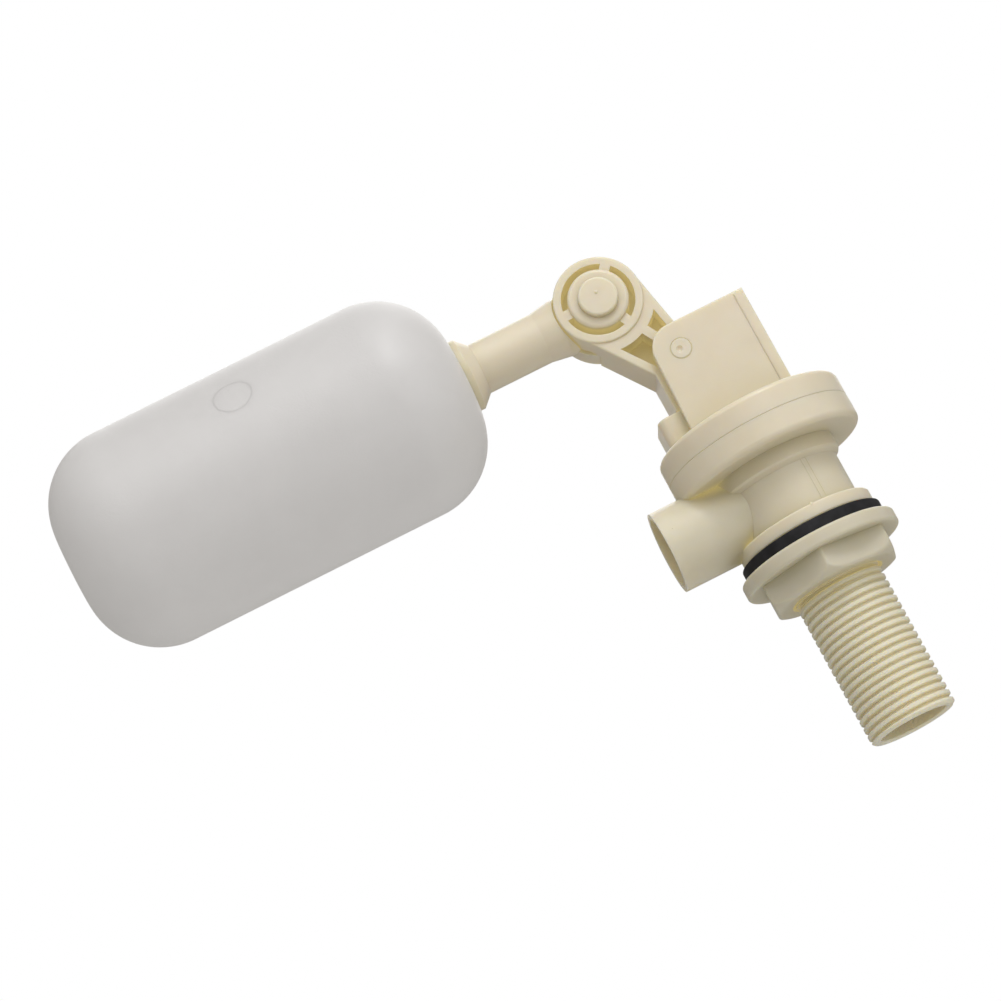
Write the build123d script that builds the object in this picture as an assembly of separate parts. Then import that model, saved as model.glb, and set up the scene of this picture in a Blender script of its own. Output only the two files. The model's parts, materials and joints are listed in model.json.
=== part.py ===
from build123d import *
import math
import os

# Float valve for a water tank: a threaded shank passes up through the tank wall, a plunger valve sits on
# top of it, and a long float on a jointed lever pushes the plunger shut as the water rises.
# Millimetres. Z runs up the valve axis, the float and the spout point to -X, the lever swings about Y.
# The origin is on the valve axis, level with the face of the mounting flange that rests on the tank wall.

os.makedirs("parts", exist_ok=True)

# ---- driving dimensions ----
THREAD_PITCH = 1.814
THREAD_CREST = 0.7
THREAD_ROOT = 0.25
THREAD_DEPTH = 0.7
THREAD_R = 10.2
RELIEF_Z = -12.7
RELIEF_WIDTH = 0.5
SHANK_END_Z = -47.1
SHANK_BEVEL = 1.5
INLET_R = 8.0
INLET_BEVEL = 0.4

MOUNT_FLANGE_R = 16.0
MOUNT_FLANGE_T = 3.3
NECK_R = 13.7
SEAM_DEG = -71
SEAM_HEIGHT = 0.12
SHOULDER_R = 15.0
SHOULDER_Z = 14.5
RIM_R = 22.1
RIM_Z = 18.2
PARTING_Z = 24.2
DECK_Z = 29.9
EDGE_ROUND = 1.3
PARTING_GROOVE = 0.12
SOFT_EDGE = 0.4
EAR_CORNER_R = 5.8

SPOUT_Z = 11.3
SPOUT_R = 9.5
SPOUT_BORE_R = 8.3
SPOUT_END_X = -29.5

GASKET_R = 16.9
GASKET_T = 2.9
NUT_FLANGE_R = 18.6
NUT_FLANGE_T = 3.5
NUT_HEX_AF = 29.0
NUT_TURN_DEG = -7
NUT_BOTTOM_Z = -12.5
NUT_BORE_R = THREAD_R + 0.06
NUT_MOUTH = 0.75
NUT_CORNER_ROUND = 3.0
NUT_CORNER_BLEND = 0.8

PIVOT_X = -6.35
PIVOT_Z = 49.0
PIN_R = 2.45
RUNNING_FIT = 0.05
CUT = 0.1
ASSEMBLY_FIT = 0.02
EAR_OUTER_Y = 9.8
EAR_T = 2.6
EAR_TOP_Z = 55.4
EAR_LEFT_X = -13.1
EAR_RIGHT_X = 12.0
BACK_WALL_T = 2.4
STOP_LEFT_X = -18.5
STOP_RIGHT_X = -8.6
STOP_TOP_Z = 37.2

LEVER_HALF_Y = 6.7
LEVER_WALL = 1.8
LEVER_WEB_T = 2.0
LEVER_RIB_HALF = 1.05
HEEL_R = 5.0
KNUCKLE_X = -17.0
KNUCKLE_Z = 68.4
KNUCKLE_R = 10.1
KNUCKLE_GAP = 0.1
SLOT_INNER_R = 6.9
SLOT_OUTER_R = 8.3
SLOT_BRIDGE_DEG = 16
SLOT_BRIDGE_BEARINGS = (52, 181, 296)
BOSS_FACE_Y = -8.2
PLUG_HEAD_R = 4.45
PLUG_SHAFT_R = 2.5
PLUG_FACE_Y = -9.9

ARM_DISC_R = 10.8
ARM_R = 5.95
ARM_FLARE_R = 6.7
COLLAR_R = 8.5
FLOAT_R = 25.5
FLOAT_LENGTH = 96.7
FLOAT_CORNER_R = 17.5
FLOAT_WALL = 1.6
FLOAT_END_X = -51.1
SPIGOT_R = 4.0
SPIGOT_LENGTH = 13.0

PLUNGER_R = 3.5
PLUNGER_TRAVEL = 1.6
SEAT_Z = 19.6
CHAMBER_R = 11.9
CHAMBER_FLOOR_Z = 3.0
RISER_R = 6.3
RISER_BORE_R = 4.5
RISER_TOP_Z = 17.6
JET_BORE_R = 2.6
JET_LENGTH = 7.0
CONTACT_GAP = 0.02
BONNET_PLUG_R = 18.0
CAVITY_R = 13.4
DECK_T = 3.3
SEAL_Z = 21.2
SEAL_T = 1.2
WASHER_R = 5.5
ORING_Z = 33.5


def disc_z(radius, z_low, z_high, x=0.0):
    """A cylinder along Z between two levels."""
    return Pos(x, 0, z_low) * Cylinder(radius, z_high - z_low, align=(Align.CENTER, Align.CENTER, Align.MIN))


def disc_y(radius, y_low, y_high, x, z):
    """A cylinder along Y between two depths."""
    middle = (y_low + y_high) / 2
    return Pos(x, middle, z) * Rot(90, 0, 0) * Cylinder(radius, y_high - y_low)


def rod_x(radius, x_low, x_high, z, y=0.0):
    """A cylinder along X between two places."""
    return Pos((x_low + x_high) / 2, y, z) * Rot(0, 90, 0) * Cylinder(radius, x_high - x_low)


def block(x_low, x_high, y_low, y_high, z_low, z_high):
    """A box between two opposite corners."""
    centre = Pos((x_low + x_high) / 2, (y_low + y_high) / 2, (z_low + z_high) / 2)
    return centre * Box(x_high - x_low, y_high - y_low, z_high - z_low)


def turned_z(points):
    """A solid of revolution about Z from (radius, z) corners."""
    outline = make_face(Polyline(*[(r, 0, z) for r, z in points], close=True))
    return revolve(outline, Axis.Z)


def turned_x(points, z):
    """A solid of revolution about the X direction at height z, from (x, radius) corners."""
    outline = make_face(Polyline(*[(x, 0, r) for x, r in points], close=True))
    return Pos(0, 0, z) * revolve(outline, Axis.X)


def plate_xz(points, y_low, y_high):
    """A flat plate in the XZ plane with a straight-sided outline."""
    outline = make_face(Polyline(*[(x, y_low, z) for x, z in points], close=True))
    return extrude(outline, amount=y_high - y_low, dir=(0, 1, 0))


def helical_groove(root_r, z_low, z_high):
    """The space between the ridges of a screw thread: a trapezoid swept up a helix, open side outward."""
    turns_path = Helix(THREAD_PITCH, z_high - z_low, root_r)
    root_half = THREAD_ROOT / 2
    slope = (THREAD_PITCH - THREAD_CREST - THREAD_ROOT) / 2 / THREAD_DEPTH
    reach = THREAD_DEPTH + 0.3
    mouth_half = root_half + slope * reach
    start = Plane(origin=turns_path @ 0, x_dir=(1, 0, 0), z_dir=turns_path % 0)
    corners = [(0, -root_half), (reach, -mouth_half), (reach, mouth_half), (0, root_half)]
    profile = start * make_face(Polyline(*corners, close=True))
    return Pos(0, 0, z_low) * sweep(profile, path=turns_path, is_frenet=True)


def soften(solid, axis, end, radius):
    """Rounds the edges of a solid's end face: end 0 is its lowest face along the axis, -1 its highest."""
    face = solid.faces().filter_by(axis).sort_by(axis)[end]
    return fillet(face.edges(), radius)


def circles(solid):
    """A solid's circular edges from the lowest to the highest."""
    return solid.edges().filter_by(GeomType.CIRCLE).sort_by(Axis.Z)


def threaded_shank():
    """The screwed tube under the flange, with a turned relief just below the seated nut."""
    shank = disc_z(THREAD_R, SHANK_END_Z, 1)
    root_r = THREAD_R - THREAD_DEPTH
    shank -= helical_groove(root_r, SHANK_END_Z - THREAD_PITCH, -2.0)
    relief_r = root_r - 0.05
    relief_core = disc_z(relief_r, RELIEF_Z - 1, RELIEF_Z + 1)
    shank -= disc_z(THREAD_R + 1, RELIEF_Z - RELIEF_WIDTH, RELIEF_Z) - relief_core
    return shank - turned_z([
        (relief_r, SHANK_END_Z - CUT),
        (THREAD_R + 1, SHANK_END_Z - CUT),
        (THREAD_R + 1, SHANK_END_Z + SHANK_BEVEL),
    ])


def mould_seams():
    """Two thin raised lines down the neck and a small nub on the flange's edge, left by the mould."""
    seams = Rot(0, 0, SEAM_DEG) * block(NECK_R - 1, NECK_R + SEAM_HEIGHT, -0.2, 0.2, 1, SHOULDER_Z)
    seams += Rot(0, 0, SEAM_DEG + 5) * block(NECK_R - 1, NECK_R + SEAM_HEIGHT, -0.15, 0.15, 1, SHOULDER_Z)
    nub = Pos(1.2, -MOUNT_FLANGE_R + 0.5, MOUNT_FLANGE_T - 0.25) * Sphere(0.55)
    return seams + nub


def valve_body():
    """Shank, mounting flange, neck, spout and the lower half of the round rim, moulded as one."""
    shank = threaded_shank()
    flange = disc_z(MOUNT_FLANGE_R, 0, MOUNT_FLANGE_T)
    flange = fillet(flange.edges().filter_by(GeomType.CIRCLE), 0.5)
    neck = disc_z(NECK_R, 0, RIM_Z + 1)
    neck += turned_z([
        (0, SHOULDER_Z - 0.8),
        (NECK_R, SHOULDER_Z - 0.8),
        (SHOULDER_R - 0.3, SHOULDER_Z),
        (SHOULDER_R, SHOULDER_Z + 0.5),
        (SHOULDER_R, RIM_Z + 1),
        (0, RIM_Z + 1),
    ])
    rim = disc_z(RIM_R, RIM_Z, PARTING_Z)
    rim = fillet(circles(rim)[0], EDGE_ROUND)
    rim = chamfer(circles(rim)[-1], PARTING_GROOVE)
    outside = flange + neck + rim + mould_seams()
    body = shank + outside + rod_x(SPOUT_R, SPOUT_END_X, 0, SPOUT_Z)
    chamber = disc_z(CHAMBER_R, CHAMBER_FLOOR_Z, PARTING_Z + 1)
    chamber += rod_x(SPOUT_BORE_R, SPOUT_END_X - 1, -CHAMBER_R + 4, SPOUT_Z)
    riser = disc_z(RISER_R, 0, RISER_TOP_Z)
    body -= chamber - riser
    body -= disc_z(BONNET_PLUG_R, SEAL_Z, PARTING_Z + 1)
    inlet = disc_z(INLET_R, SHANK_END_Z - 1, 0)
    mouth_r = INLET_R + INLET_BEVEL + CUT
    mouth_z = SHANK_END_Z - CUT
    inlet += turned_z([(0, mouth_z), (mouth_r, mouth_z), (0, mouth_z + mouth_r)])
    taper_top = CHAMBER_FLOOR_Z - 0.4
    inlet += turned_z([(0, 0), (INLET_R, 0), (RISER_BORE_R, taper_top), (0, taper_top)])
    inlet += disc_z(RISER_BORE_R, 0, RISER_TOP_Z + 1)
    body -= inlet
    return body


def seat_jet():
    """The orifice that the plunger shuts: a flanged bush pushed into the top of the riser."""
    lip_r = JET_BORE_R + 0.7
    collar_top = SEAT_Z - 0.6
    jet = disc_z(RISER_BORE_R, RISER_TOP_Z - JET_LENGTH, RISER_TOP_Z)
    jet += disc_z(RISER_R - 0.3, RISER_TOP_Z, collar_top)
    jet += turned_z([(0, collar_top), (lip_r + 0.6, collar_top), (lip_r, SEAT_Z), (0, SEAT_Z)])
    return jet - disc_z(JET_BORE_R, 0, SEAT_Z + 1)


def panel_gasket():
    """The black rubber washer between the mounting flange and the tank wall."""
    ring = disc_z(GASKET_R, -GASKET_T, 0) - disc_z(THREAD_R + 0.3, -GASKET_T - 1, 1)
    outer_edges = ring.edges().filter_by(GeomType.CIRCLE).group_by(SortBy.RADIUS)[-1]
    return fillet(outer_edges, 0.35)


def shoulder_edges(hexagon):
    """The scalloped edges between the hexagon's sides and its rounded shoulder."""
    top = NUT_BOTTOM_Z + NUT_CORNER_ROUND + 0.1
    lower = [e for e in hexagon.edges() if NUT_BOTTOM_Z + 0.02 < e.center().Z < top]
    return ShapeList(e for e in lower if abs(e.tangent_at(0.5).Z) < 0.9)


def lock_nut():
    """The flanged hexagon nut that clamps the tank wall."""
    flange_bottom = -GASKET_T - NUT_FLANGE_T
    flange = disc_z(NUT_FLANGE_R, flange_bottom, -GASKET_T)
    flange = fillet(flange.edges().filter_by(GeomType.CIRCLE), 0.7)
    corner_r = NUT_HEX_AF / 2 / math.cos(math.pi / 6)
    hexagon = RegularPolygon(corner_r, 6, rotation=30 + NUT_TURN_DEG)
    hexagon = Pos(0, 0, NUT_BOTTOM_Z) * extrude(hexagon, amount=flange_bottom - NUT_BOTTOM_Z)
    hexagon = fillet(hexagon.edges().filter_by(Axis.Z), 0.8)
    barrel = disc_z(corner_r, NUT_BOTTOM_Z, flange_bottom)
    barrel = fillet(circles(barrel)[0], NUT_CORNER_ROUND)
    hexagon &= barrel
    hexagon = fillet(shoulder_edges(hexagon), NUT_CORNER_BLEND)
    nut = flange + hexagon
    bore = disc_z(NUT_BORE_R, NUT_BOTTOM_Z - 1, 1)
    bore += turned_z([
        (0, NUT_BOTTOM_Z - CUT),
        (NUT_BORE_R + NUT_MOUTH, NUT_BOTTOM_Z - CUT),
        (NUT_BORE_R + NUT_MOUTH, NUT_BOTTOM_Z),
        (NUT_BORE_R, NUT_BOTTOM_Z + 1.3 * NUT_MOUTH),
        (0, NUT_BOTTOM_Z + 1.3 * NUT_MOUTH),
    ])
    return nut - bore


def ear_outline():
    """Corners of one ear, seen along Y, before its upper corner is rounded."""
    return [
        (EAR_LEFT_X, DECK_Z - 0.5),
        (EAR_LEFT_X + 0.8, EAR_TOP_Z),
        (EAR_RIGHT_X, EAR_TOP_Z),
        (EAR_RIGHT_X, DECK_Z - 0.5),
    ]


def ear(y_low, y_high):
    """One ear of the lever's bracket, with its float-side corner rounded over the pin."""
    plate = plate_xz(ear_outline(), y_low, y_high)
    corner = plate.edges().filter_by(Axis.Y).group_by(Axis.Z)[-1].sort_by(Axis.X)[0]
    plate = fillet(corner, EAR_CORNER_R)
    outer_end = 0 if y_low < 0 else -1
    return soften(plate, Axis.Y, outer_end, SOFT_EDGE)


def bonnet():
    """The round cap with the lever's bracket, the float's stop and the plunger's guide."""
    cap = disc_z(RIM_R, PARTING_Z, DECK_Z)
    cap = fillet(circles(cap)[-1], EDGE_ROUND)
    cap = chamfer(circles(cap)[0], PARTING_GROOVE)
    cap += disc_z(BONNET_PLUG_R, SEAL_Z + SEAL_T, PARTING_Z)
    cap -= disc_z(CAVITY_R, RIM_Z, DECK_Z - DECK_T)
    ear_inner = EAR_OUTER_Y - EAR_T
    cap += ear(-EAR_OUTER_Y, -ear_inner) + ear(ear_inner, EAR_OUTER_Y)
    cap += block(EAR_RIGHT_X - BACK_WALL_T, EAR_RIGHT_X, -ear_inner, ear_inner, DECK_Z - 0.5, EAR_TOP_Z)
    stop = block(STOP_LEFT_X, STOP_RIGHT_X, -ear_inner, ear_inner, DECK_Z - 0.5, STOP_TOP_Z)
    stop = fillet(stop.edges().filter_by(Axis.Z).group_by(Axis.X)[0], 2.4)
    stop = soften(stop, Axis.Z, -1, SOFT_EDGE)
    cap += stop
    cap += disc_z(PLUNGER_R + 2.5, DECK_Z - 0.5, STOP_TOP_Z)
    cap -= disc_z(PLUNGER_R + RUNNING_FIT, RIM_Z, STOP_TOP_Z + 1)
    return cap - disc_y(PIN_R + ASSEMBLY_FIT, -EAR_OUTER_Y - 1, EAR_OUTER_Y + 1, PIVOT_X, PIVOT_Z)


def bonnet_seal():
    """The rubber ring squeezed between the bonnet's plug and the ledge in the body."""
    return disc_z(BONNET_PLUG_R - 0.05, SEAL_Z, SEAL_Z + SEAL_T) - disc_z(CAVITY_R, RIM_Z, PARTING_Z)


def washer_bottom():
    """The seat washer's lower face with the valve open."""
    return SEAT_Z + PLUNGER_TRAVEL + CONTACT_GAP


def plunger():
    """The stem that the lever's heel pushes down, with a cupped foot for the seat washer."""
    heel_bottom = PIVOT_Z - HEEL_R
    foot_bottom = washer_bottom() + 0.8
    foot_top = DECK_Z - DECK_T - 0.3
    stem = disc_z(PLUNGER_R, foot_bottom, heel_bottom - CONTACT_GAP)
    stem = fillet(stem.edges().filter_by(GeomType.CIRCLE).sort_by(Axis.Z)[-1], 0.6)
    stem += disc_z(7.0, foot_bottom, foot_top)
    stem -= disc_z(WASHER_R, 0, foot_bottom + 1.6)
    groove = disc_z(PLUNGER_R + 1, ORING_Z - 1.0, ORING_Z + 1.0) - disc_z(PLUNGER_R - 1.75, 0, PIVOT_Z)
    return stem - groove


def seat_washer():
    """The rubber disc in the plunger's foot that closes on the jet."""
    return disc_z(WASHER_R, washer_bottom(), washer_bottom() + 2.4)


def plunger_seal():
    """The O-ring in the plunger's groove."""
    wire_r = 0.88
    return Pos(0, 0, ORING_Z) * Torus(PLUNGER_R + 0.02 - wire_r, wire_r)


def pivot_pin():
    """The pin through both ears, which the lever turns on."""
    pin = disc_y(PIN_R, -EAR_OUTER_Y - 0.15, EAR_OUTER_Y + 0.15, PIVOT_X, PIVOT_Z)
    pin = chamfer(pin.edges().filter_by(GeomType.CIRCLE), 0.3)
    dimple = Pos(PIVOT_X - 0.4, -EAR_OUTER_Y - 0.15 - 0.75, PIVOT_Z) * Sphere(1.1)
    return pin - dimple


def spoke(degrees, length, half_width):
    """Corners of a straight bar from the knuckle's centre, in the XZ plane, at a bearing from +X."""
    angle = math.radians(degrees)
    along = (math.cos(angle), math.sin(angle))
    side = (-math.sin(angle), math.cos(angle))
    corners = []
    for distance, offset in ((0, -half_width), (length, -half_width), (length, half_width), (0, half_width)):
        x = KNUCKLE_X + distance * along[0] + offset * side[0]
        z = KNUCKLE_Z + distance * along[1] + offset * side[1]
        corners.append((x, z))
    return corners


def lever_outline():
    """Corners of the lever below the knuckle: its back edge, heel, leg and float-side edge."""
    return [
        (KNUCKLE_X + KNUCKLE_R, KNUCKLE_Z + 1.0),
        (-4.4, EAR_TOP_Z + 1.0),
        (-2.6, PIVOT_Z + HEEL_R),
        (0.0, PIVOT_Z + HEEL_R),
        (0.0, PIVOT_Z - HEEL_R),
        (-PLUNGER_R - 0.4, PIVOT_Z - HEEL_R),
        (PIVOT_X, PIVOT_Z - HEEL_R - 0.8),
        (-9.6, 41.5),
        (-9.6, STOP_TOP_Z + CONTACT_GAP),
        (-13.7, STOP_TOP_Z + CONTACT_GAP),
        (-13.8, 47.0),
        (-24.6, KNUCKLE_Z - 6.0),
    ]


def lever():
    """Knuckle plate, tapering pocketed stem, heel over the plunger and leg down to the stop."""
    half = LEVER_HALF_Y
    full = plate_xz(lever_outline(), -half, half)
    full += disc_y(HEEL_R, -half, half, 0.0, PIVOT_Z)
    full = soften(soften(full, Axis.Y, 0, SOFT_EDGE), Axis.Y, -1, SOFT_EDGE)
    inner = offset(make_face(Polyline(*[(x, 0, z) for x, z in lever_outline()], close=True)), -LEVER_WALL)
    pocket = extrude(inner, amount=half + 1, dir=(0, 1, 0)) + extrude(inner, amount=half + 1, dir=(0, -1, 0))
    pocket -= disc_y(12.5, -half - 1, half + 1, KNUCKLE_X, KNUCKLE_Z)
    pocket -= disc_y(5.2, -half - 1, half + 1, PIVOT_X, PIVOT_Z)
    pocket -= block(-30, 30, -LEVER_WEB_T / 2, LEVER_WEB_T / 2, 0, 100)
    pocket -= block(-3, 30, -half - 1, half + 1, 0, 100)
    pivot_bearing = math.degrees(math.atan2(PIVOT_Z - KNUCKLE_Z, PIVOT_X - KNUCKLE_X))
    pocket -= plate_xz(spoke(pivot_bearing, 25, LEVER_RIB_HALF), -half - 1, half + 1)
    body = full - pocket
    body -= disc_y(ARM_DISC_R + 0.35, -KNUCKLE_GAP, half + 1, KNUCKLE_X, KNUCKLE_Z)
    plate = disc_y(KNUCKLE_R, -half, -KNUCKLE_GAP, KNUCKLE_X, KNUCKLE_Z)
    raised = soften(disc_y(KNUCKLE_R, -half - 0.5, -half, KNUCKLE_X, KNUCKLE_Z), Axis.Y, 0, SOFT_EDGE)
    boss = soften(disc_y(SLOT_INNER_R, BOSS_FACE_Y, -half, KNUCKLE_X, KNUCKLE_Z), Axis.Y, 0, 0.9)
    body += plate + raised + boss
    body -= knuckle_slots()
    body -= disc_y(PLUG_SHAFT_R + ASSEMBLY_FIT, -20, 20, KNUCKLE_X, KNUCKLE_Z)
    return body - disc_y(PIN_R + RUNNING_FIT, -20, 20, PIVOT_X, PIVOT_Z)


def knuckle_slots():
    """Three curved slots through the knuckle plate, around its boss."""
    ring = disc_y(SLOT_OUTER_R, -20, 0, KNUCKLE_X, KNUCKLE_Z)
    ring -= disc_y(SLOT_INNER_R, -21, 1, KNUCKLE_X, KNUCKLE_Z)
    half_width = SLOT_OUTER_R * math.sin(math.radians(SLOT_BRIDGE_DEG / 2))
    for bearing in SLOT_BRIDGE_BEARINGS:
        ring -= plate_xz(spoke(bearing, 12, half_width), -22, 2)
    return ring


def knuckle_plug():
    """The snap rivet that holds the float arm to the lever."""
    head = disc_y(PLUG_HEAD_R, PLUG_FACE_Y, BOSS_FACE_Y, KNUCKLE_X, KNUCKLE_Z)
    front_edge = head.edges().filter_by(GeomType.CIRCLE).sort_by(Axis.Y)[0]
    head = fillet(front_edge, 0.5)
    tail_y = LEVER_HALF_Y + 0.05
    shaft = disc_y(PLUG_SHAFT_R, BOSS_FACE_Y, tail_y, KNUCKLE_X, KNUCKLE_Z)
    barb = disc_y(PLUG_SHAFT_R + 0.8, tail_y, tail_y + 1.4, KNUCKLE_X, KNUCKLE_Z)
    barb = chamfer(barb.edges().filter_by(GeomType.CIRCLE).sort_by(Axis.Y)[-1], 0.8)
    split = block(KNUCKLE_X - 0.5, KNUCKLE_X + 0.5, 1.0, tail_y + 2, KNUCKLE_Z - 5, KNUCKLE_Z + 5)
    gate_mark = Pos(KNUCKLE_X, PLUG_FACE_Y, KNUCKLE_Z + 0.9) * Sphere(0.4)
    return head + gate_mark + shaft + barb - split


def float_arm():
    """The arm from the knuckle's disc to the float, with a conical collar and a barbed spigot."""
    disc = soften(disc_y(ARM_DISC_R, KNUCKLE_GAP, LEVER_HALF_Y, KNUCKLE_X, KNUCKLE_Z), Axis.Y, -1, SOFT_EDGE)
    collar_x = FLOAT_END_X + 1.4
    rod = turned_x([
        (KNUCKLE_X, 0),
        (KNUCKLE_X, ARM_FLARE_R),
        (KNUCKLE_X - KNUCKLE_R, ARM_FLARE_R),
        (KNUCKLE_X - KNUCKLE_R - 4.5, ARM_R),
        (collar_x + 2.6, ARM_R),
        (collar_x, COLLAR_R),
        (FLOAT_END_X, COLLAR_R),
        (FLOAT_END_X, SPIGOT_R),
        (FLOAT_END_X - SPIGOT_LENGTH, SPIGOT_R),
        (FLOAT_END_X - SPIGOT_LENGTH, 0),
    ], KNUCKLE_Z)
    rod -= disc_y(KNUCKLE_R + 0.35, -20, KNUCKLE_GAP, KNUCKLE_X, KNUCKLE_Z)
    rod -= block(-30, 0, LEVER_HALF_Y, 20, 50, 90)
    arm = disc + rod
    return arm - disc_y(PLUG_SHAFT_R + RUNNING_FIT, -20, 20, KNUCKLE_X, KNUCKLE_Z)


def capsule(length, radius, corner_r, x_high):
    """A cylinder along X with softly rounded ends, as a solid of revolution."""
    x_low = x_high - length
    flat_r = radius - corner_r
    half = math.sqrt(0.5)
    sides = Polyline((x_high, 0, 0), (x_high, 0, flat_r))
    near_arc = ThreePointArc(
        (x_high, 0, flat_r),
        (x_high - corner_r * (1 - half), 0, flat_r + corner_r * half),
        (x_high - corner_r, 0, radius),
    )
    top = Line((x_high - corner_r, 0, radius), (x_low + corner_r, 0, radius))
    far_arc = ThreePointArc(
        (x_low + corner_r, 0, radius),
        (x_low + corner_r * (1 - half), 0, flat_r + corner_r * half),
        (x_low, 0, flat_r),
    )
    close_up = Polyline((x_low, 0, flat_r), (x_low, 0, 0), (x_high, 0, 0))
    outline = make_face(Wire([*sides.edges(), near_arc, top, far_arc, *close_up.edges()]))
    return Pos(0, 0, KNUCKLE_Z) * revolve(outline, Axis.X)


def float_shell():
    """The hollow float, with a blind socket in its end for the arm's spigot."""
    skin = capsule(FLOAT_LENGTH, FLOAT_R, FLOAT_CORNER_R, FLOAT_END_X)
    hollow = capsule(
        FLOAT_LENGTH - 2 * FLOAT_WALL,
        FLOAT_R - FLOAT_WALL,
        FLOAT_CORNER_R - FLOAT_WALL,
        FLOAT_END_X - FLOAT_WALL,
    )
    socket_end = FLOAT_END_X - SPIGOT_LENGTH - 0.5
    socket = rod_x(SPIGOT_R + 1.8, socket_end - 1.8, FLOAT_END_X - 0.5, KNUCKLE_Z)
    return skin - (hollow - socket) - rod_x(SPIGOT_R + ASSEMBLY_FIT, socket_end, FLOAT_END_X + 1, KNUCKLE_Z)


PIECES = {
    "valve_body": valve_body,
    "seat_jet": seat_jet,
    "panel_gasket": panel_gasket,
    "lock_nut": lock_nut,
    "bonnet": bonnet,
    "bonnet_seal": bonnet_seal,
    "plunger": plunger,
    "plunger_seal": plunger_seal,
    "seat_washer": seat_washer,
    "pivot_pin": pivot_pin,
    "lever": lever,
    "knuckle_plug": knuckle_plug,
    "float_arm": float_arm,
    "float_shell": float_shell,
}

for name, make in PIECES.items():
    solid = make()
    export_step(solid, f"parts/{name}.step")
    print(name, len(solid.solids()), round(solid.volume, 1))
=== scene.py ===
import bpy
import json
import math
from mathutils import Matrix, Vector


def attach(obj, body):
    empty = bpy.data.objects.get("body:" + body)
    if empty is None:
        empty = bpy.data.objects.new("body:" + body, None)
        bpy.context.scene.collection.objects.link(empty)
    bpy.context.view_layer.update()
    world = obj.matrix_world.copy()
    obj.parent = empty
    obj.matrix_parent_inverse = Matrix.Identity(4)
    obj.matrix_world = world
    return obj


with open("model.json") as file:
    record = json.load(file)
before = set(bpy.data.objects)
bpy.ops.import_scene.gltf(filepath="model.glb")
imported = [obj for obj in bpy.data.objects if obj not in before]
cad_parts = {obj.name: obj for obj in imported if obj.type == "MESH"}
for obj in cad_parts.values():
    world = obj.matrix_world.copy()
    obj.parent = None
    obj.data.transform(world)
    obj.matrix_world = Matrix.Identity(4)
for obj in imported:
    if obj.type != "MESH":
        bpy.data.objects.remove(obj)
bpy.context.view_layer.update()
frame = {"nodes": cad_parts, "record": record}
MM = 0.001

# ---- the camera looks up at the valve's front, rolled so that the shank points down and to the right ----
VIEW_AZIMUTH = math.radians(4.43)
VIEW_ELEVATION = math.radians(14.97)
VIEW_ROLL = math.radians(-27.80)
VIEW_TARGET = Vector((-0.05656, 0.0, 0.03905))
VIEW_DISTANCE = 0.7514
LENS_MM = 122.28
SENSOR_MM = 36.0

# ---- the surroundings ----
SURROUND_STRENGTH = 0.30
SURROUND_COLOR = (1.0, 0.97, 0.89)
LIGHT_DISTANCE = 0.9
# soft boxes: name, direction from the target in camera right, up and towards the viewer, width, and watts
SOFT_BOXES = [
    ("overhead", (0.0, 1.0, 0.15), 0.7, 1.6),
    ("overhead_small", (0.0, 1.0, 0.45), 0.2, 1.4),
    ("overhead_front", (0.0, 1.0, 1.0), 0.7, 1.2),
    ("upper_left", (-0.8, 0.8, 0.7), 0.7, 1.6),
    ("upper_right", (0.8, 0.8, 0.7), 0.7, 0.8),
    ("behind", (0.0, 0.4, -1.0), 0.7, 1.9),
]
FLOOR_Z = -0.30
FLOOR_SIZE = 12.0
FLOOR_PALENESS = (0.34, 0.34, 0.33)

# ---- the marks that the moulds left: a ring on the float's front and a line down the front ear ----
FLOAT_R = 25.5 * MM
FLOAT_AXIS_Z = 68.4 * MM
FLOAT_MARK_X = -99.3 * MM
FLOAT_MARK_R = 4.4 * MM
FLOAT_MARK_HALF_WIDTH = 0.25 * MM
FLOAT_MARK_HEIGHT = 0.045 * MM
FLOAT_MARK_ROOT = -0.03 * MM
FLOAT_MARK_ANGLE = math.radians(30)
EAR_LINE_X = 9.6 * MM
EAR_FACE_Y = -9.8 * MM
EAR_LINE_BOTTOM_Z = 31 * MM
EAR_LINE_TOP_Z = 54.6 * MM
EAR_LINE_WIDTH = 0.25 * MM
EAR_LINE_HEIGHT = 0.05 * MM

# ---- painted shade and glow, standing in for light that comes through the plastic's walls: recesses are painted darker and yellow and given a painted glow, narrow gaps a weaker painted glow ----
RECESS_PAINTED_SHADE = (0.61, 0.55, 0.33)
RECESS_PAINTED_GLOW = (0.22, 0.18, 0.08)
GAP_PAINTED_GLOW = (0.14, 0.12, 0.06)
PAINTED_SHADE_REACH = 16 * MM
PAINTED_GLOW_REACH = 6 * MM
PLASTIC_SCATTER = (2.8 * MM, 2.3 * MM, 1.3 * MM)
SPECK_COLOR = (0.36, 0.28, 0.14)

# ---- painted light: the threaded shank, below the nut, is painted paler to offset the shade in its thread grooves ----
SHANK_PAINTED_LIGHT = (0.90, 0.83, 0.66)
SHANK_TOP_Z = -13.5 * MM

# ---- the float's wall spreads light far; it also gets a little painted glow ----
FLOAT_SCATTER = (14 * MM, 14 * MM, 14 * MM)
FLOAT_PAINTED_GLOW = 0.145
FLOAT_PAINTED_GLOW_COLOR = (1.0, 0.97, 0.95)
FLOAT_SPECK_COLOR = (0.35, 0.33, 0.30)

BLACK = (0.0, 0.0, 0.0)
WHITE = (1.0, 1.0, 1.0)


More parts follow.
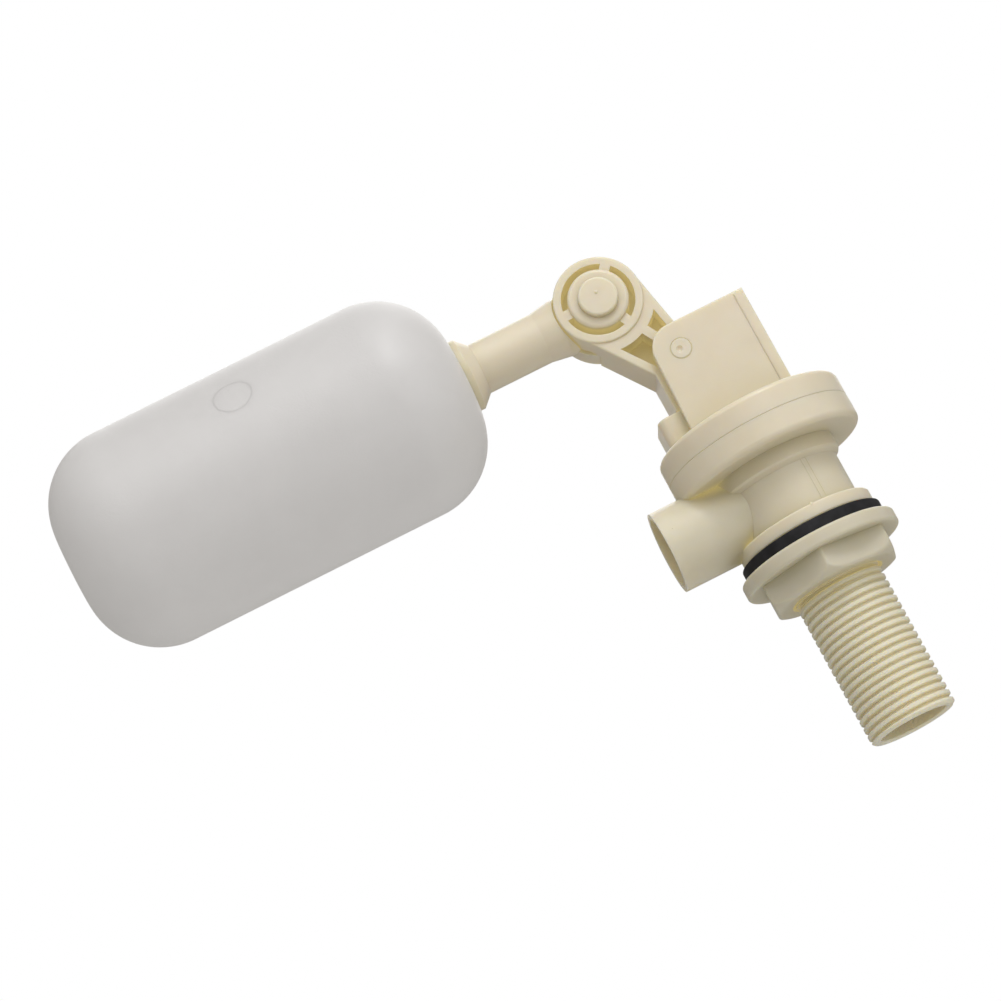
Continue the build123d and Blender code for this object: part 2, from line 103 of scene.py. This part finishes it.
def camera_axes():
    """The camera's right, up and forward directions."""
    forward = Vector((
        math.sin(VIEW_AZIMUTH) * math.cos(VIEW_ELEVATION),
        math.cos(VIEW_AZIMUTH) * math.cos(VIEW_ELEVATION),
        math.sin(VIEW_ELEVATION),
    ))
    level = Vector((math.cos(VIEW_AZIMUTH), -math.sin(VIEW_AZIMUTH), 0.0))
    upright = level.cross(forward)
    right = level * math.cos(VIEW_ROLL) + upright * math.sin(VIEW_ROLL)
    up = upright * math.cos(VIEW_ROLL) - level * math.sin(VIEW_ROLL)
    return right, up, forward


def look_rotation(right, up, forward):
    """The rotation of a camera or area light with these axes."""
    return Matrix((right, up, -forward)).transposed().to_4x4()


def make_camera():
    """The scene's camera."""
    right, up, forward = camera_axes()
    camera_data = bpy.data.cameras.new("camera")
    camera_data.lens = LENS_MM
    camera_data.sensor_width = SENSOR_MM
    camera_data.clip_start = 0.01
    camera_data.clip_end = 20.0
    camera = bpy.data.objects.new("camera", camera_data)
    place = Matrix.Translation(VIEW_TARGET - forward * VIEW_DISTANCE)
    camera.matrix_world = place @ look_rotation(right, up, forward)
    bpy.context.scene.collection.objects.link(camera)
    bpy.context.scene.camera = camera


# ---- light ----
def soft_box(name, towards, size, power):
    """A square soft light, facing the target from a direction in camera right, up and towards the viewer."""
    right, up, forward = camera_axes()
    direction = (right * towards[0] + up * towards[1] - forward * towards[2]).normalized()
    light_data = bpy.data.lights.new(name, "AREA")
    light_data.shape = "SQUARE"
    light_data.size = size
    light_data.energy = power
    light = bpy.data.objects.new(name, light_data)
    light.location = VIEW_TARGET + direction * LIGHT_DISTANCE
    light.rotation_euler = direction.to_track_quat("Z", "Y").to_euler()
    bpy.context.scene.collection.objects.link(light)


def make_world():
    """A surround that is white where the camera sees it, and dimmer and a little warm as a light."""
    world = bpy.data.worlds.new("studio")
    bpy.context.scene.world = world
    world.use_nodes = True
    nodes = world.node_tree.nodes
    links = world.node_tree.links
    background = nodes["Background"]
    background.inputs["Color"].default_value = (*SURROUND_COLOR, 1.0)
    background.inputs["Strength"].default_value = SURROUND_STRENGTH
    white = nodes.new("ShaderNodeBackground")
    white.inputs["Color"].default_value = (*WHITE, 1.0)
    white.inputs["Strength"].default_value = 1.0
    path = nodes.new("ShaderNodeLightPath")
    mix = nodes.new("ShaderNodeMixShader")
    links.new(path.outputs["Is Camera Ray"], mix.inputs["Fac"])
    links.new(background.outputs["Background"], mix.inputs[1])
    links.new(white.outputs["Background"], mix.inputs[2])
    links.new(mix.outputs["Shader"], nodes["World Output"].inputs["Surface"])


def make_floor():
    """A pale floor, well below the part, whose extra paleness lights nothing else."""
    bpy.ops.mesh.primitive_plane_add(size=FLOOR_SIZE, location=(VIEW_TARGET.x, 0.0, FLOOR_Z))
    floor = bpy.context.object
    floor.name = "floor"
    shader = Shader("pale_floor")
    color = shader.ramp(shader.noise(300 * MM, 3.0), (0.3, (0.80, 0.80, 0.79)), (0.7, (0.83, 0.83, 0.82)))
    shader.link(color, shader.principled.inputs["Base Color"])
    shader.set(Roughness=0.9, Emission_Color=(*FLOOR_PALENESS, 1.0))
    path = shader.nodes.new("ShaderNodeLightPath")
    shader.link(path.outputs["Is Camera Ray"], shader.principled.inputs["Emission Strength"])
    floor.data.materials.append(shader.material)


# ---- materials ----
class Shader:
    """A Principled material under construction."""

    def __init__(self, name):
        self.material = bpy.data.materials.new(name)
        self.material.use_nodes = True
        self.tree = self.material.node_tree
        self.nodes = self.tree.nodes
        self.principled = self.nodes["Principled BSDF"]
        self.position = self.nodes.new("ShaderNodeTexCoord").outputs["Object"]

    def link(self, output, target):
        self.tree.links.new(output, target)

    def noise(self, size, detail=2.0, roughness=0.5):
        """Noise with blotches about size metres across, from 0 to 1."""
        node = self.nodes.new("ShaderNodeTexNoise")
        node.inputs["Scale"].default_value = 1.0 / size
        node.inputs["Detail"].default_value = detail
        node.inputs["Roughness"].default_value = roughness
        self.link(self.position, node.inputs["Vector"])
        return node.outputs["Fac"]

    def ramp(self, value, *stops):
        """Colours from a value: stops are (place, colour)."""
        node = self.nodes.new("ShaderNodeValToRGB")
        elements = node.color_ramp.elements
        while len(elements) < len(stops):
            elements.new(0.5)
        for element, (place, color) in zip(elements, stops):
            element.position = place
            element.color = (*color, 1.0)
        self.link(value, node.inputs["Fac"])
        return node.outputs["Color"]

    def bump(self, height, strength, distance, normal=None):
        """A bumped normal from a height."""
        node = self.nodes.new("ShaderNodeBump")
        node.inputs["Strength"].default_value = strength
        node.inputs["Distance"].default_value = distance
        self.link(height, node.inputs["Height"])
        if normal is not None:
            self.link(normal, node.inputs["Normal"])
        return node.outputs["Normal"]

    def occlusion(self, reach):
        """From 0 deep in a recess to 1 on an open face, counting the surfaces within reach of a point."""
        node = self.nodes.new("ShaderNodeAmbientOcclusion")
        node.inputs["Distance"].default_value = reach
        node.samples = 8
        return node.outputs["AO"]

    def no_speck(self, spacing, size):
        """1 everywhere but in rare small specks, where it is 0; size is a share of the spacing."""
        cells = self.nodes.new("ShaderNodeTexVoronoi")
        cells.inputs["Scale"].default_value = 1.0 / spacing
        self.link(self.position, cells.inputs["Vector"])
        near = self.nodes.new("ShaderNodeMath")
        near.operation = "GREATER_THAN"
        near.inputs[1].default_value = size
        self.link(cells.outputs["Distance"], near.inputs[0])
        return near.outputs["Value"]

    def above(self, height):
        """1 where the part is higher than a height at rest, and 0 below it."""
        split = self.nodes.new("ShaderNodeSeparateXYZ")
        self.link(self.position, split.inputs["Vector"])
        higher = self.nodes.new("ShaderNodeMath")
        higher.operation = "GREATER_THAN"
        higher.inputs[1].default_value = height
        self.link(split.outputs["Z"], higher.inputs[0])
        return higher.outputs["Value"]

    def mixed(self, factor, first, second_color):
        """A colour that turns from a constant colour to another as the factor goes from 0 to 1."""
        mix = self.nodes.new("ShaderNodeMix")
        mix.data_type = "RGBA"
        self.link(factor, mix.inputs["Factor"])
        mix.inputs["A"].default_value = (*first, 1.0)
        self.link(second_color, mix.inputs["B"])
        return mix.outputs["Result"]

    def set(self, **values):
        """Constants on the Principled shader, by socket name with underscores."""
        for key, value in values.items():
            self.principled.inputs[key.replace("_", " ")].default_value = value


def moulded_plastic(name, light, dark, roughness, scatter):
    """Satin injection-moulded plastic that lets a little light through; its recesses get painted yellow shade
    and a painted glow, and the shank below the nut gets painted light.
    """
    shader = Shader(name)
    color = shader.ramp(shader.noise(9 * MM, 4.0, 0.6), (0.3, dark), (0.7, light))
    # painted light: below the nut the shank is made paler to offset the shade in its thread grooves
    color = shader.mixed(shader.above(SHANK_TOP_Z), SHANK_PAINTED_LIGHT, color)
    # painted shade: ambient occlusion darkens recesses toward a yellow colour
    unshaded = shader.ramp(shader.occlusion(PAINTED_SHADE_REACH), (0.15, BLACK), (0.9, WHITE))
    color = shader.mixed(unshaded, RECESS_PAINTED_SHADE, color)
    color = shader.mixed(shader.no_speck(6 * MM, 0.012), SPECK_COLOR, color)
    shader.link(color, shader.principled.inputs["Base Color"])
    # painted glow: emission that is brightest in recesses and dimmer in narrow gaps
    painted_glow = shader.ramp(shader.occlusion(PAINTED_GLOW_REACH), (0.0, GAP_PAINTED_GLOW), (0.10, RECESS_PAINTED_GLOW), (0.50, BLACK))
    shader.link(painted_glow, shader.principled.inputs["Emission Color"])
    grain = shader.noise(0.45 * MM, 3.0, 0.7)
    flow = shader.noise(3.5 * MM, 2.0)
    normal = shader.bump(grain, 0.10, 0.05 * MM, shader.bump(flow, 0.15, 0.12 * MM))
    shader.link(normal, shader.principled.inputs["Normal"])
    shader.set(Roughness=roughness, IOR=1.49, Emission_Strength=1.0)
    shader.set(Subsurface_Weight=scatter, Subsurface_Scale=1.0)
    shader.set(Subsurface_Radius=PLASTIC_SCATTER)
    return shader.material


def frosted_float():
    """Blow-moulded translucent polythene with a fine speckle and a faint painted glow."""
    shader = Shader("frosted_float")
    cloud = shader.noise(14 * MM, 3.0)
    color = shader.ramp(cloud, (0.3, (0.515, 0.505, 0.505)), (0.7, (0.545, 0.535, 0.535)))
    color = shader.mixed(shader.no_speck(22 * MM, 0.012), FLOAT_SPECK_COLOR, color)
    shader.link(color, shader.principled.inputs["Base Color"])
    speckle = shader.noise(0.5 * MM, 2.0, 0.8)
    normal = shader.bump(speckle, 0.5, 0.08 * MM, shader.bump(shader.noise(6 * MM), 0.15, 0.25 * MM))
    shader.link(normal, shader.principled.inputs["Normal"])
    shader.set(Roughness=0.42, IOR=1.51, Subsurface_Weight=0.6, Subsurface_Scale=1.0)
    shader.set(Subsurface_Radius=FLOAT_SCATTER)
    # painted glow: the float emits a little light of its own
    shader.set(Emission_Color=(*FLOAT_PAINTED_GLOW_COLOR, 1.0), Emission_Strength=FLOAT_PAINTED_GLOW)
    return shader.material


def black_rubber():
    """Matte moulded rubber with a fine grain and a dusty bloom."""
    shader = Shader("black_rubber")
    bloom = shader.noise(2.5 * MM, 4.0)
    color = shader.ramp(bloom, (0.35, (0.010, 0.010, 0.012)), (0.75, (0.022, 0.022, 0.026)))
    shader.link(color, shader.principled.inputs["Base Color"])
    normal = shader.bump(shader.noise(0.3 * MM, 3.0), 0.3, 0.05 * MM)
    shader.link(normal, shader.principled.inputs["Normal"])
    shader.set(Roughness=0.65, Specular_IOR_Level=0.3)
    return shader.material


MATERIALS = {
    "ivory_plastic": moulded_plastic("ivory_plastic", (0.82, 0.745, 0.60), (0.79, 0.71, 0.555), 0.30, 0.65),
    "nut_plastic": moulded_plastic("nut_plastic", (0.71, 0.665, 0.55), (0.68, 0.63, 0.50), 0.34, 0.65),
    "nylon": moulded_plastic("nylon", (0.80, 0.79, 0.74), (0.76, 0.75, 0.70), 0.45, 0.3),
    "float_plastic": frosted_float(),
    "black_rubber": black_rubber(),
}


def dress_nodes():
    """Gives every CAD node the material of its slot."""
    for entry in frame["record"]["subparts"]:
        node = frame["nodes"][entry["node"]]
        node.data.materials.clear()
        node.data.materials.append(MATERIALS[entry["material_slot"]])
        node.data.shade_smooth()
        node.data.set_sharp_from_angle(angle=math.radians(28))


# ---- small marks left by the moulds ----
def make_piece(name, body, material, vertices, faces):
    """A mesh piece that moves with a body."""
    mesh = bpy.data.meshes.new(name)
    mesh.from_pydata(vertices, [], faces)
    mesh.materials.append(MATERIALS[material])
    mesh.shade_smooth()
    mesh.set_sharp_from_angle(angle=math.radians(50))
    piece = bpy.data.objects.new(name, mesh)
    bpy.context.scene.collection.objects.link(piece)
    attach(piece, body)


def raised_bar(name, start, end, outward, width, height):
    """A thin bevelled bar on the valve's surface, from start to end, with its foot just under the surface."""
    start, end, outward = Vector(start), Vector(end), Vector(outward).normalized()
    side = outward.cross(end - start).normalized()
    profile = [(-0.5, -0.1), (-0.2, 1.0), (0.2, 1.0), (0.5, -0.1)]
    vertices = [point + side * width * across + outward * height * up
                for point in (start, end) for across, up in profile]
    faces = [(0, 1, 2, 3), (7, 6, 5, 4), (1, 0, 4, 5), (2, 1, 5, 6), (3, 2, 6, 7), (0, 3, 7, 4)]
    make_piece(name, "valve", "ivory_plastic", vertices, faces)


def float_mark():
    """The faint raised ring on the float's side, round a blank in its mould."""
    profile = [
        (-FLOAT_MARK_HALF_WIDTH, FLOAT_MARK_ROOT),
        (0.0, FLOAT_MARK_HEIGHT),
        (FLOAT_MARK_HALF_WIDTH, FLOAT_MARK_ROOT),
    ]
    steps = 72
    vertices = []
    for step in range(steps):
        turn = 2 * math.pi * step / steps
        for across, height in profile:
            radius = FLOAT_MARK_R + across
            angle = FLOAT_MARK_ANGLE + radius * math.sin(turn) / FLOAT_R
            reach = FLOAT_R + height
            x = FLOAT_MARK_X + radius * math.cos(turn)
            vertices.append((x, -reach * math.cos(angle), FLOAT_AXIS_Z + reach * math.sin(angle)))
    sides = len(profile)
    faces = []
    for step in range(steps):
        here, there = step * sides, (step + 1) % steps * sides
        for side in range(sides):
            after = (side + 1) % sides
            faces.append((here + side, here + after, there + after, there + side))
    make_piece("float_mark", "float_set", "float_plastic", vertices, faces)


def ear_line():
    """The line down the front ear where the back wall meets it."""
    bottom = (EAR_LINE_X, EAR_FACE_Y, EAR_LINE_BOTTOM_Z)
    top = (EAR_LINE_X, EAR_FACE_Y, EAR_LINE_TOP_Z)
    raised_bar("ear_line", bottom, top, (0, -1, 0), EAR_LINE_WIDTH, EAR_LINE_HEIGHT)


ear_line()
float_mark()
make_camera()
make_world()
make_floor()
for box in SOFT_BOXES:
    soft_box(*box)
bpy.context.scene.view_settings.view_transform = "Standard"
dress_nodes()
